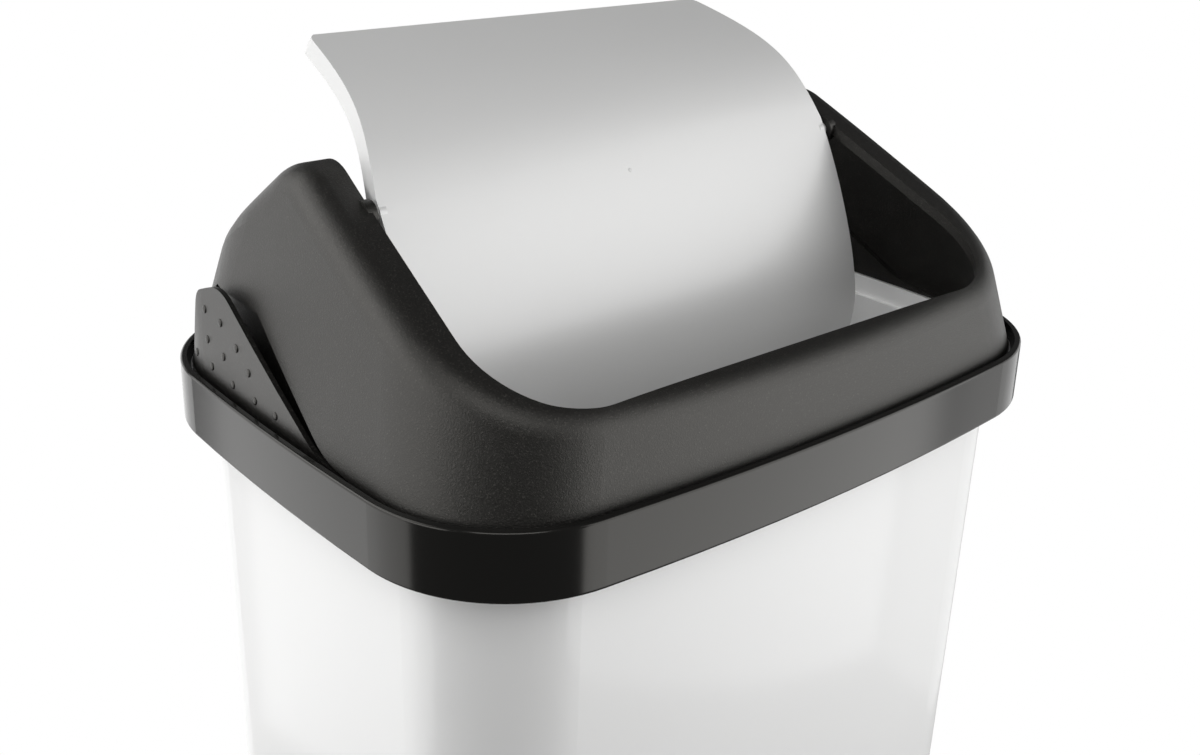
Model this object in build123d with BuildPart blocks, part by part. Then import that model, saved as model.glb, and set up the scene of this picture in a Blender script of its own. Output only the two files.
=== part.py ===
"""Swing-lid trash can: bin body, rim collar, bag ring with grip tabs, hood and swing flap.

Millimetres, +Z up, origin on the floor under the centre of the bin, front towards -Y.
The flap is drawn in its closed frame on the pivot and stands swung open, as it rests.
"""

import os
from math import atan2, cos, radians, sin, tan

from build123d import *

os.makedirs("parts", exist_ok=True)

# Driving sizes
WIDTH = 340.0            # collar, side to side
DEPTH = 260.0            # collar, front to back
TOP = 405.0              # top edge of the collar above the floor
CORNER = 62.0            # plan radius of the collar corners
BOW_LONG = 11.0          # how far the front and back bulge
BOW_SHORT = 5.3          # how far the sides bulge

COLLAR_WALL = 2.6
COLLAR_HEIGHT = 27.0
FLANGE_TOP = TOP - 5.5   # seat of the ring and of the collar's ledge
FLANGE_THICK = 2.5
SEAT_THICK = 2.0         # ring thickness under the hood

BODY_INSET = 12.0        # body outside under the collar, in from the collar outside
RIM_INSET = 9.4          # stepped-out rim of the body
RIM_DEPTH = 12.0
BODY_WALL = 2.4
BODY_DRAFT = 0.8         # degrees
FLOOR_THICK = 3.0
FOOT = 4.0               # height of the foot ring

HOOD_INSET = 5.6
HOOD_LEAN = 12.5         # degrees
HOOD_WALL = 2.5
FRONT_RIM_Z = TOP + 30.5
PEAK_Y = 25.9
PEAK_Z = TOP + 95.7

PIVOT_Y = -3.0
PIVOT_Z = TOP + 76.5
OPEN_ANGLE = 46.0        # closed to rest, degrees
PIN_R = 3.0
PIN_CLEARANCE = 0.08
FLAP_THICK = 3.0
FLAP_HALF = 123.0        # half width at the pins
FLAP_REAR_HALF = 106.5
FLAP_FLANGE = 8.0
EAR_R = 4.0

MOUTH_HALF = 137.0       # half width of the hood's mouth at the front
MOUTH_MID_HALF = 126.5   # half width of the mouth at the pins
MOUTH_REAR_HALF = 116.0
MOUTH_FRONT_Y = -109.0
MOUTH_REAR_Y = 92.0


def outline(inset, round_up=0.0):
    """Bowed rectangle with round corners, set in from the collar's outside."""
    round_r = CORNER - inset + round_up
    hw = WIDTH / 2 - inset
    hd = DEPTH / 2 - inset
    cx = hw - BOW_SHORT
    cy = hd - BOW_LONG
    with BuildLine() as line:
        ThreePointArc((-cx, -cy), (0, -hd), (cx, -cy))
        ThreePointArc((cx, -cy), (hw, 0), (cx, cy))
        ThreePointArc((cx, cy), (0, hd), (-cx, cy))
        ThreePointArc((-cx, cy), (-hw, 0), (-cx, -cy))
    make_face(line.edges())
    fillet(vertices(), round_r)


def section(z, inset, round_up=0.0):
    """The same outline as a face at height z."""
    with BuildSketch(Plane.XY.offset(z)) as plan:
        outline(inset, round_up)
    return plan.sketch


def body_inset(z):
    """Body outside at height z, in from the collar's outside."""
    return BODY_INSET + (TOP - COLLAR_HEIGHT - z) * tan(radians(BODY_DRAFT))


def hood_inset(z):
    """Hood outside at height z, in from the collar's outside."""
    return HOOD_INSET + (z - TOP) * tan(radians(HOOD_LEAN))


# Bin body: tapered wall, floor, foot ring and outward flange
BODY_TOP = TOP - 2.5
RIM_Z = BODY_TOP - RIM_DEPTH
FLOOR_Z = FOOT + FLOOR_THICK
with BuildPart() as bin_body:
    with BuildSketch(Plane.XY):
        outline(body_inset(0))
    with BuildSketch(Plane.XY.offset(RIM_Z)):
        outline(body_inset(RIM_Z))
    loft(ruled=True)
    with BuildSketch(Plane.XY.offset(RIM_Z)):
        outline(RIM_INSET)
    extrude(amount=RIM_DEPTH)
    fillet(bin_body.faces().sort_by(Axis.Z)[0].edges(), 9)
    with BuildSketch(Plane.XY.offset(FLANGE_TOP - FLANGE_THICK)):
        outline(COLLAR_WALL + 0.2)
    extrude(amount=FLANGE_THICK)
    with BuildSketch(Plane.XY.offset(FLOOR_Z)):
        outline(body_inset(FLOOR_Z) + BODY_WALL)
    with BuildSketch(Plane.XY.offset(RIM_Z + BODY_WALL)):
        outline(body_inset(RIM_Z) + BODY_WALL)
    loft(ruled=True, mode=Mode.SUBTRACT)
    with BuildSketch(Plane.XY.offset(RIM_Z + BODY_WALL)):
        outline(RIM_INSET + BODY_WALL)
    extrude(amount=RIM_DEPTH, mode=Mode.SUBTRACT)
    with BuildSketch(Plane.XY):
        outline(body_inset(0) + 16)
    extrude(amount=FOOT, mode=Mode.SUBTRACT)

# Rim collar: band with a ledge on the flange and a turned-in lower lip
COLLAR_Z = TOP - COLLAR_HEIGHT
LIP_THICK = 2.0
with BuildPart() as rim_collar:
    with BuildSketch(Plane.XY.offset(COLLAR_Z)):
        outline(0)
    extrude(amount=COLLAR_HEIGHT)
    fillet(rim_collar.faces().sort_by(Axis.Z)[-1].edges(), 1.1)
    fillet(rim_collar.faces().sort_by(Axis.Z)[0].edges(), 1.4)
    with BuildSketch(Plane.XY.offset(COLLAR_Z + LIP_THICK)):
        outline(COLLAR_WALL)
    extrude(amount=FLANGE_TOP - COLLAR_Z - LIP_THICK, mode=Mode.SUBTRACT)
    with BuildSketch(Plane.XY.offset(FLANGE_TOP)):
        outline(COLLAR_WALL + 1.4)
    extrude(amount=1.6, mode=Mode.SUBTRACT)
    with BuildSketch(Plane.XY.offset(FLANGE_TOP + 1.6)):
        outline(COLLAR_WALL)
    extrude(amount=TOP - FLANGE_TOP, mode=Mode.SUBTRACT)
    with BuildSketch(Plane.XY.offset(COLLAR_Z)):
        outline(body_inset(COLLAR_Z) - 0.15)
    extrude(amount=LIP_THICK, mode=Mode.SUBTRACT)

# Bag ring: flat ring on the flange with a grip tab standing at each side
RING_OUT = COLLAR_WALL + 1.9
RING_IN = RIM_INSET - 0.3
SEAT_Z = FLANGE_TOP + SEAT_THICK
TAB_OUT = 5.2
TAB_WALL = 2.0
TAB_LEAN = 2.0           # degrees
TAB_TOP = TOP + 60
TAB_CURVE = [(-62, FLANGE_TOP), (-26, TOP - 1), (48, TOP + 42), (72, TOP + 33.5), (82.5, FLANGE_TOP)]


def tab_face(shift=0.0):
    """Side view of a grip tab: long S-curve at the front, steep at the back."""
    with BuildSketch() as side:
        with BuildLine():
            Polyline([(y + shift, z) for y, z in TAB_CURVE], close=True)
        make_face()
        fillet(vertices().sort_by(Axis.X)[1], 45)
        fillet(vertices().filter_by(lambda v: abs(v.X - TAB_CURVE[2][0] - shift) < 0.01), 20)
        fillet(vertices().filter_by(lambda v: abs(v.X - TAB_CURVE[3][0] - shift) < 0.01), 11)
    return side.sketch


def leaning(inset):
    """Two plans of a leaning wall, at the flange and above the tabs."""
    lean = tan(radians(TAB_LEAN))
    low = section(FLANGE_TOP, inset + (FLANGE_TOP - TOP) * lean)
    high = section(TAB_TOP, inset + (TAB_TOP - TOP) * lean)
    return [low, high]


with BuildPart() as tab_wall:
    loft(leaning(TAB_OUT), ruled=True)
    loft(leaning(TAB_OUT + TAB_WALL), ruled=True, mode=Mode.SUBTRACT)
    with BuildSketch(Plane.YZ):
        add(tab_face())
    extrude(amount=WIDTH, both=True, mode=Mode.INTERSECT)

with BuildPart() as bag_ring:
    with BuildSketch(Plane.XY.offset(FLANGE_TOP)):
        outline(RING_OUT)
    extrude(amount=SEAT_THICK)
    with BuildSketch(Plane.XY.offset(FLANGE_TOP)):
        outline(RING_IN)
    extrude(amount=SEAT_THICK, mode=Mode.SUBTRACT)
    add(tab_wall.part)

# Hood: leaning wall under a gabled top, open mouth, return flange and bearings
HOOD_TOP = TOP + 105
HOOD_CURVE = [(-150, TOP - 40), (-150, FRONT_RIM_Z), (MOUTH_FRONT_Y, FRONT_RIM_Z),
              (PEAK_Y, PEAK_Z), (92, TOP + 44.5), (150, TOP - 4), (150, TOP - 40)]
EDGE_ROUND = 12.5
CROWN_ROUND = 28.0       # how much rounder in plan the hood gets at its top
TAB_GAP = 1.0            # all round a tab
TAB_LEAD = 4.5           # more room along its front curve
RETURN_DEPTH = 5.0
POCKET_IN = 3.8          # pocket behind each tab, in from the hood outside
POCKET_WALL = 2.0


def hood_profile(drop):
    """Side view of the hood: flat front rim, slope to the peak, rear slope."""
    with BuildLine() as line:
        Polyline([(y, z - drop) for y, z in HOOD_CURVE], close=True)
    make_face(line.edges())
    fillet(vertices().filter_by(lambda v: abs(v.X - MOUTH_FRONT_Y) < 0.01), 45)
    fillet(vertices().filter_by(lambda v: abs(v.X - PEAK_Y) < 0.01), 24)


def side_block(drop):
    """Block under the hood's side view, lowered by drop."""
    with BuildSketch(Plane.YZ) as side:
        hood_profile(drop)
    return extrude(side.sketch, amount=WIDTH / 2, both=True, mode=Mode.PRIVATE)


def mouth(grow):
    """Plan of the hood's mouth, widest at the front."""
    with BuildLine() as line:
        Polyline([(-MOUTH_HALF - grow, MOUTH_FRONT_Y - grow), (MOUTH_HALF + grow, MOUTH_FRONT_Y - grow),
                  (MOUTH_MID_HALF + grow, 0), (MOUTH_REAR_HALF + grow, MOUTH_REAR_Y + grow),
                  (-MOUTH_REAR_HALF - grow, MOUTH_REAR_Y + grow), (-MOUTH_MID_HALF - grow, 0)], close=True)
    make_face(line.edges())
    fillet(vertices().group_by(Axis.Y)[0], 37 + grow)
    fillet(vertices().filter_by(lambda v: abs(v.Y) < 0.01), 120)
    fillet(vertices().group_by(Axis.Y)[-1], 16 + grow)


def hood_block(inset):
    """Two plans of the leaning hood, before the side view trims it."""
    low = section(SEAT_Z, hood_inset(SEAT_Z) + inset)
    high = section(HOOD_TOP, hood_inset(HOOD_TOP) + inset, CROWN_ROUND)
    return [low, high]


def rim_edges(part):
    """Edges between the top faces of a hood block and its walls."""
    top = part.faces().filter_by(lambda f: f.normal_at().Z > 0.4)
    return part.edges().filter_by(lambda e: sum(e in f.edges() for f in top) == 1)


with BuildPart() as hood_core:
    loft(hood_block(HOOD_WALL), ruled=True)
    with BuildSketch(Plane.YZ):
        hood_profile(HOOD_WALL)
    extrude(amount=WIDTH, both=True, mode=Mode.INTERSECT)
    fillet(rim_edges(hood_core), EDGE_ROUND - HOOD_WALL)

BEARING_R = 6.0
BEARING_OUT = MOUTH_MID_HALF + HOOD_WALL
BEARING_IN = MOUTH_MID_HALF - 1.5
with BuildPart() as hood_shape:
    loft(hood_block(0), ruled=True)
    with BuildSketch(Plane.YZ):
        hood_profile(0)
    extrude(amount=WIDTH, both=True, mode=Mode.INTERSECT)
    fillet(rim_edges(hood_shape), EDGE_ROUND)

with BuildPart() as return_flange:
    with BuildSketch(Plane.XY.offset(TOP)) as ring_plan:
        mouth(HOOD_WALL)
    extrude(amount=110)
    with BuildSketch(Plane.XY.offset(TOP)):
        mouth(0)
    extrude(amount=110, mode=Mode.SUBTRACT)
    add(hood_shape.part, mode=Mode.INTERSECT)
    add(side_block(RETURN_DEPTH), mode=Mode.SUBTRACT)

def notch_face(grow):
    """Side view of the notch round a tab."""
    both = tab_face() + tab_face(-TAB_LEAD)
    return offset(both, amount=TAB_GAP + grow, mode=Mode.PRIVATE)


with BuildPart() as pocket_shell:
    loft(hood_block(0), ruled=True)
    loft(hood_block(POCKET_IN + POCKET_WALL), ruled=True, mode=Mode.SUBTRACT)
    with BuildSketch(Plane.YZ):
        add(notch_face(POCKET_WALL))
    extrude(amount=WIDTH, both=True, mode=Mode.INTERSECT)
    with BuildSketch(Plane.XY.offset(BODY_TOP + 0.5)):
        Rectangle(2 * WIDTH, 2 * DEPTH)
    extrude(amount=110, mode=Mode.INTERSECT)

with BuildPart() as pocket_void:
    loft(hood_block(-2), ruled=True)
    loft(hood_block(POCKET_IN), ruled=True, mode=Mode.SUBTRACT)
    with BuildSketch(Plane.YZ):
        add(notch_face(0))
    extrude(amount=WIDTH, both=True, mode=Mode.INTERSECT)
    with BuildSketch(Plane.XY.offset(SEAT_Z - 1)):
        Rectangle(2 * WIDTH, 2 * DEPTH)
    extrude(amount=TAB_CURVE[3][1] - SEAT_Z + 2.5, mode=Mode.INTERSECT)

with BuildPart() as hood:
    add(hood_shape.part)
    add(hood_core.part, mode=Mode.SUBTRACT)
    with BuildSketch(Plane.XY.offset(TOP + 5)):
        mouth(0)
    extrude(amount=110, mode=Mode.SUBTRACT)
    add(return_flange.part)
    # bearings for the flap's pins
    with Locations((BEARING_IN, PIVOT_Y, PIVOT_Z), (-BEARING_OUT, PIVOT_Y, PIVOT_Z)):
        Cylinder(BEARING_R, BEARING_OUT - BEARING_IN, rotation=(0, 90, 0),
                 align=(Align.CENTER, Align.CENTER, Align.MIN))
    with Locations((0, PIVOT_Y, PIVOT_Z)):
        Cylinder(PIN_R + PIN_CLEARANCE, 2 * BEARING_OUT + 8, rotation=(0, 90, 0), mode=Mode.SUBTRACT)
    # recessed pockets for the grip tabs
    add(pocket_shell.part)
    add(pocket_void.part, mode=Mode.SUBTRACT)

# Flap: drawn closed on a frame at the pivot, that frame turned open
TURN = radians(OPEN_ANGLE)
PIVOT = (0, PIVOT_Y, PIVOT_Z)
FLAP_SIDE = Plane(origin=PIVOT, x_dir=(0, cos(TURN), sin(TURN)), z_dir=(1, 0, 0))
FLAP_PLAN = Plane(origin=PIVOT, x_dir=(1, 0, 0), z_dir=(0, -sin(TURN), cos(TURN)))
FLAP_CURVE = [(89.8, -15.5), (67.4, -3.0), (36, 8.0), (3, 4.6), (-37, -8.6), (-66, -23), (-90.6, -41), (-101, -50)]


def flap_line(depth):
    """Flap curve moved in by depth along its normal."""
    moved = []
    last = len(FLAP_CURVE) - 1
    for i in range(last + 1):
        ahead = FLAP_CURVE[min(i + 1, last)]
        behind = FLAP_CURVE[max(i - 1, 0)]
        turn = atan2(ahead[1] - behind[1], ahead[0] - behind[0])
        moved.append((FLAP_CURVE[i][0] - depth * sin(turn), FLAP_CURVE[i][1] + depth * cos(turn)))
    return moved


def flap_band(depth):
    """Side view of the flap as a band of the given depth."""
    outer = flap_line(0)
    inner = flap_line(depth)
    with BuildLine() as line:
        Spline(outer)
        Spline(inner)
        Line(outer[0], inner[0])
        Line(outer[-1], inner[-1])
    make_face(line.edges())


def flap_outline(shrink):
    """Plan of the flap in its closed frame, narrower at the rear."""
    wide = FLAP_HALF - shrink
    rear = FLAP_REAR_HALF - shrink
    with BuildLine() as line:
        Polyline([(-wide, -101 + shrink), (wide, -101 + shrink), (wide, 4), (rear, 90.5 - shrink),
                  (-rear, 90.5 - shrink), (-wide, 4)], close=True)
    make_face(line.edges())
    fillet(vertices().group_by(Axis.Y)[0], 30 - shrink)
    fillet(vertices().group_by(Axis.Y)[-1], 6 - shrink)


with BuildPart() as flap_rim:
    with BuildSketch(FLAP_SIDE):
        flap_band(FLAP_FLANGE)
    extrude(amount=WIDTH / 2, both=True)
    with BuildSketch(FLAP_PLAN.offset(-80)):
        flap_outline(0)
    extrude(amount=110, mode=Mode.INTERSECT)
    with BuildSketch(FLAP_PLAN.offset(-80)):
        flap_outline(2.4)
    extrude(amount=110, mode=Mode.SUBTRACT)

with BuildPart() as flap:
    with BuildSketch(FLAP_SIDE):
        flap_band(FLAP_THICK)
    extrude(amount=WIDTH / 2, both=True)
    with BuildSketch(FLAP_PLAN.offset(-80)):
        flap_outline(0)
    extrude(amount=110, mode=Mode.INTERSECT)
    add(flap_rim.part)
    # ears and pins
    with BuildSketch(Plane.YZ.offset(FLAP_HALF - 3)):
        with Locations((PIVOT_Y, PIVOT_Z)):
            Circle(EAR_R)
    extrude(amount=3)
    with BuildSketch(Plane.YZ.offset(-FLAP_HALF)):
        with Locations((PIVOT_Y, PIVOT_Z)):
            Circle(EAR_R)
    extrude(amount=3)
    with BuildSketch(Plane.YZ.offset(FLAP_HALF - 3)):
        with Locations((PIVOT_Y, PIVOT_Z)):
            Circle(PIN_R)
    extrude(amount=BEARING_OUT - FLAP_HALF + 3 - 0.5)
    with BuildSketch(Plane.YZ.offset(-FLAP_HALF + 3)):
        with Locations((PIVOT_Y, PIVOT_Z)):
            Circle(PIN_R)
    extrude(amount=-(BEARING_OUT - FLAP_HALF + 3 - 0.5))

bin_body.part.label = "bin_body"
rim_collar.part.label = "rim_collar"
bag_ring.part.label = "bag_ring"
hood.part.label = "hood"
flap.part.label = "flap"
export_step(bin_body.part, "parts/bin_body.step")
export_step(rim_collar.part, "parts/rim_collar.step")
export_step(bag_ring.part, "parts/bag_ring.step")
export_step(hood.part, "parts/hood.step")
export_step(flap.part, "parts/flap.step")
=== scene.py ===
from math import cos, sin

import bmesh
import bpy
from mathutils import Matrix, Vector


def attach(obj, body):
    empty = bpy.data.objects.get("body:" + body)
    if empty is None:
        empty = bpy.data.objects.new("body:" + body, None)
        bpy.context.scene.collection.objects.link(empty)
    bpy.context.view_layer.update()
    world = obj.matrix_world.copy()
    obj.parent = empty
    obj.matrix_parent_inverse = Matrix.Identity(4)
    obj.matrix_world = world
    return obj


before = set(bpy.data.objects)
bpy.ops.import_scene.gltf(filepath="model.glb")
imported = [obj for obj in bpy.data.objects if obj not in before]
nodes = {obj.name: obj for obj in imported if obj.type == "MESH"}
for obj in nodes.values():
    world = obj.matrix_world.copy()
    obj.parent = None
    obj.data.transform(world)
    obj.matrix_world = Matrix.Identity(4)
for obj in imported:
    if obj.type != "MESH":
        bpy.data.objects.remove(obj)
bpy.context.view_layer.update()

BAND_TOP = 0.405         # m, the top of the band, where the grip dots are measured from
GATE_RIGHT, GATE_UP = 0.0218, 0.0942   # the gate mark in the view, as slopes from its axis

# Camera, solved from the photograph, whose pixels the three sizes below are in
PHOTO_WIDTH, FOCAL = 1200, 1378.5
AXIS_ROW, MIDDLE_ROW = 299.8, 377.5
SENSOR = 36              # mm
EYE = Vector((-0.37936, -0.42413, 0.62738))

scene = bpy.context.scene
scene.view_settings.view_transform = "Standard"
cam_data = bpy.data.cameras.new("camera")
cam = bpy.data.objects.new("camera", cam_data)
scene.collection.objects.link(cam)
scene.camera = cam
yaw, pitch, roll = 0.717, 0.349, -0.029
ahead = Vector((sin(yaw) * cos(pitch), cos(yaw) * cos(pitch), -sin(pitch)))
right = ahead.cross(Vector((0, 0, 1))).normalized()
down = ahead.cross(right)
right, down = cos(roll) * right + sin(roll) * down, cos(roll) * down - sin(roll) * right
turn = Matrix((right, -down, -ahead)).transposed().to_4x4()
cam.matrix_world = Matrix.Translation(EYE) @ turn
cam_data.sensor_width = SENSOR
cam_data.lens = FOCAL / PHOTO_WIDTH * SENSOR
cam_data.shift_y = (AXIS_ROW - MIDDLE_ROW) / PHOTO_WIDTH
cam_data.clip_start = 0.01
cam_data.clip_end = 50


class Socket:
    """Wraps a shader output so that node maths reads like arithmetic."""

    def __init__(self, tree, out):
        self.tree, self.out = tree, out

    def _do(self, op, number):
        node = self.tree.nodes.new("ShaderNodeMath")
        node.operation = op
        self.tree.links.new(self.out, node.inputs[0])
        node.inputs[1].default_value = number
        return Socket(self.tree, node.outputs[0])

    def __add__(self, number):
        return self._do("ADD", number)

    def __mul__(self, number):
        return self._do("MULTIPLY", number)

    def step(self, low, high):
        """0 below low, 1 above high, smooth between."""
        node = self.tree.nodes.new("ShaderNodeMapRange")
        node.interpolation_type = "SMOOTHSTEP"
        self.tree.links.new(self.out, node.inputs[0])
        node.inputs[1].default_value = low
        node.inputs[2].default_value = high
        return Socket(self.tree, node.outputs[0])


class Finish:
    """One procedural material on Object coordinates."""

    def __init__(self, name):
        self.mat = bpy.data.materials.new(name)
        self.mat.use_nodes = True
        self.tree = self.mat.node_tree
        self.bsdf = self.tree.nodes["Principled BSDF"]
        self.coords = self.tree.nodes.new("ShaderNodeTexCoord").outputs["Object"]

    def noise(self, scale, detail, rough=0.5):
        node = self.tree.nodes.new("ShaderNodeTexNoise")
        node.inputs["Scale"].default_value = scale
        node.inputs["Detail"].default_value = detail
        node.inputs["Roughness"].default_value = rough
        self.tree.links.new(self.coords, node.inputs["Vector"])
        return Socket(self.tree, node.outputs["Fac"])

    def cells(self, scale):
        node = self.tree.nodes.new("ShaderNodeTexVoronoi")
        node.inputs["Scale"].default_value = scale
        self.tree.links.new(self.coords, node.inputs["Vector"])
        return Socket(self.tree, node.outputs["Distance"])

    def colour(self, low, high, factor):
        """Base colour from low to high as factor goes from 0 to 1."""
        node = self.tree.nodes.new("ShaderNodeMix")
        node.data_type = "RGBA"
        node.inputs[6].default_value = (*low, 1)
        node.inputs[7].default_value = (*high, 1)
        self.tree.links.new(factor.out, node.inputs[0])
        self.tree.links.new(node.outputs[2], self.bsdf.inputs["Base Color"])

    def put(self, name, value):
        if isinstance(value, Socket):
            self.tree.links.new(value.out, self.bsdf.inputs[name])
        else:
            self.bsdf.inputs[name].default_value = value

    def bump(self, height, strength, distance):
        node = self.tree.nodes.new("ShaderNodeBump")
        node.inputs["Strength"].default_value = strength
        node.inputs["Distance"].default_value = distance
        self.tree.links.new(height.out, node.inputs["Height"])
        self.tree.links.new(node.outputs[0], self.bsdf.inputs["Normal"])


WARM = (1.0, 0.975, 0.92, 1)   # the dark plastic mirrors a little warm
FLAKE_SCALE, CLOUD_SCALE = 2600, 9
HOOD_GRAIN, TAB_GRAIN = 1500, 1200


def silver(name, tint, metal, rough, coat):
    """Silver pearl plastic: fine flake under a clear gloss."""
    f = Finish(name)
    flake = f.cells(FLAKE_SCALE)
    cloud = f.noise(CLOUD_SCALE, 2)
    f.colour([c * 0.97 for c in tint], tint, cloud)
    f.put("Metallic", metal)
    f.put("Roughness", cloud * 0.04 + rough)
    f.put("Coat Weight", coat)
    f.put("Coat Roughness", 0.09)
    f.bump(flake, 0.05, 0.0002)
    return f.mat


def graphite(name, tint, rough, grain, strength):
    """Dark moulded plastic with a spark-eroded grain; its sparse light specks are painted glints, the
    sparkle of the grain put into the base colour.
    """
    f = Finish(name)
    grain_and_glint = f.noise(grain, 4, 0.65)
    # painted glints: sparse specks lighten the base colour to stand in for the sparkle of the grain
    f.colour([c * 0.4 for c in tint], [c * 6 for c in tint], grain_and_glint.step(0.54, 0.76))
    f.put("Roughness", grain_and_glint * 0.12 + (rough - 0.06))
    f.put("IOR", 1.53)
    f.put("Specular Tint", WARM)
    f.bump(grain_and_glint, strength, 0.0003)
    return f.mat


def gloss(name, tint):
    """Smooth dark plastic."""
    f = Finish(name)
    cloud = f.noise(14, 2)
    f.colour([c * 0.92 for c in tint], tint, cloud)
    f.put("Roughness", cloud * 0.03 + 0.14)
    f.put("IOR", 1.4)
    f.put("Specular Tint", WARM)
    return f.mat


SILVER = silver("silver_pearl", (0.75, 0.75, 0.745), 0.08, 0.40, 0.3)
FLAP = silver("silver_flap", (0.69, 0.69, 0.685), 0.18, 0.38, 0.15)
HOOD = graphite("textured_graphite", (0.0085, 0.008, 0.0072), 0.42, HOOD_GRAIN, 0.5)
TABS = graphite("tab_graphite", (0.010, 0.0095, 0.0088), 0.36, TAB_GRAIN, 0.12)
COLLAR = gloss("gloss_graphite", (0.008, 0.0078, 0.0073))


def dress(name, mat):
    """Gives a CAD node its material and leaves its mesh alone."""
    node = nodes[name]
    for s in node.material_slots:
        s.material = mat
    if not node.material_slots:
        node.data.materials.append(mat)


dress("bin_body", SILVER)
dress("flap", FLAP)
dress("hood", HOOD)
dress("bag_ring", TABS)
dress("rim_collar", COLLAR)

# Raised dots on the grip tabs: y and height above the band's top, in mm
DOTS = [(63, 28), (77, 15.5), (48, 27), (61, 16), (73.5, 6.3), (34, 21), (46, 13.6), (57.5, 5.6),
        (24, 14.3), (38, 4.6), (19.2, 4.6), (3, 4.4)]
DOT_RADIUS, DOT_HEIGHT = 0.0017, 0.0007
CAST_FROM = 0.3          # m from the middle, outside the bin
TAB_NEAREST = 0.155      # m from the middle, a hit nearer than this is not on the tab


def caps(name, seats, radius, height, body, mat):
    """Low domes of that radius, one on each (point, normal)."""
    mesh = bpy.data.meshes.new(name)
    bm = bmesh.new()
    for point, normal in seats:
        turn = normal.to_track_quat("Z", "Y").to_matrix().to_4x4()
        dome = Matrix.Diagonal((radius, radius, height, 1))
        bmesh.ops.create_uvsphere(bm, u_segments=16, v_segments=10, radius=1,
                                  matrix=Matrix.Translation(point) @ turn @ dome)
    bm.to_mesh(mesh)
    bm.free()
    obj = bpy.data.objects.new(name, mesh)
    scene.collection.objects.link(obj)
    for poly in mesh.polygons:
        poly.use_smooth = True
    mesh.materials.append(mat)
    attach(obj, body)


def dot_seats(side):
    """Where the dots sit on the tab of that side: cast inwards from outside it."""
    found = []
    for y, z in DOTS:
        start = Vector((side * CAST_FROM, y / 1000, BAND_TOP + z / 1000))
        hit, point, normal, _ = nodes["bag_ring"].ray_cast(start, Vector((-side, 0, 0)))
        if hit and abs(point.x) > TAB_NEAREST:
            found.append((point, normal))
    return found


caps("grip_dots_left", dot_seats(-1), DOT_RADIUS, DOT_HEIGHT, "ring", TABS)
caps("grip_dots_right", dot_seats(1), DOT_RADIUS, DOT_HEIGHT, "ring", TABS)

# The mark that the mould's gate left on the flap, cast from the camera through its place in the view
_, gate_point, gate_normal, _ = nodes["flap"].ray_cast(EYE, ahead + GATE_RIGHT * right - GATE_UP * down)
caps("gate_mark", [(gate_point, gate_normal)], 0.0009, 0.0003, "flap", FLAP)

# White surround: the camera sees white, everything else a dim grey
world = bpy.data.worlds.new("studio")
scene.world = world
world.use_nodes = True
tree = world.node_tree
tree.nodes.clear()
out = tree.nodes.new("ShaderNodeOutputWorld")
mix = tree.nodes.new("ShaderNodeMixShader")
path = tree.nodes.new("ShaderNodeLightPath")
seen = tree.nodes.new("ShaderNodeBackground")
soft = tree.nodes.new("ShaderNodeBackground")
seen.inputs[0].default_value = (1, 1, 1, 1)
soft.inputs[0].default_value = (0.10, 0.10, 0.10, 1)
tree.links.new(path.outputs["Is Camera Ray"], mix.inputs[0])
tree.links.new(soft.outputs[0], mix.inputs[1])
tree.links.new(seen.outputs[0], mix.inputs[2])
tree.links.new(mix.outputs[0], out.inputs[0])


MID = Vector((0, 0, 0.35))   # what the soft boxes face


def panel(name, place, width, height, glow):
    """A soft box at place, facing MID, with the same glow whatever its size."""
    data = bpy.data.lights.new(name, "AREA")
    data.shape = "RECTANGLE"
    data.size, data.size_y = width, height
    data.energy = glow * width * height * 3.1416
    obj = bpy.data.objects.new(name, data)
    scene.collection.objects.link(obj)
    obj.location = place
    obj.rotation_euler = (MID - Vector(place)).to_track_quat("-Z", "Y").to_euler()


panel("left_box", (-1.6, 1.3, 0.2), 2.1, 3.1, 1.65)
panel("left_high", (-1.25, 1.05, 1.75), 1.9, 1.3, 2.5)
panel("left_fill", (-2.0, -0.05, 0.75), 1.0, 1.3, 2.8)
panel("key_high", (-0.85, -1.05, 1.95), 1.3, 1.1, 3.0)
panel("back_box", (0.0, 2.1, -0.1), 1.4, 2.4, 1.2)
panel("front_box", (1.19, -1.70, 0.35), 1.95, 3.1, 2.5)
panel("right_box", (2.1, -0.3, 0.0), 1.5, 2.2, 1.1)
panel("high_box", (1.3, -1.2, 1.7), 1.5, 1.0, 0.3)
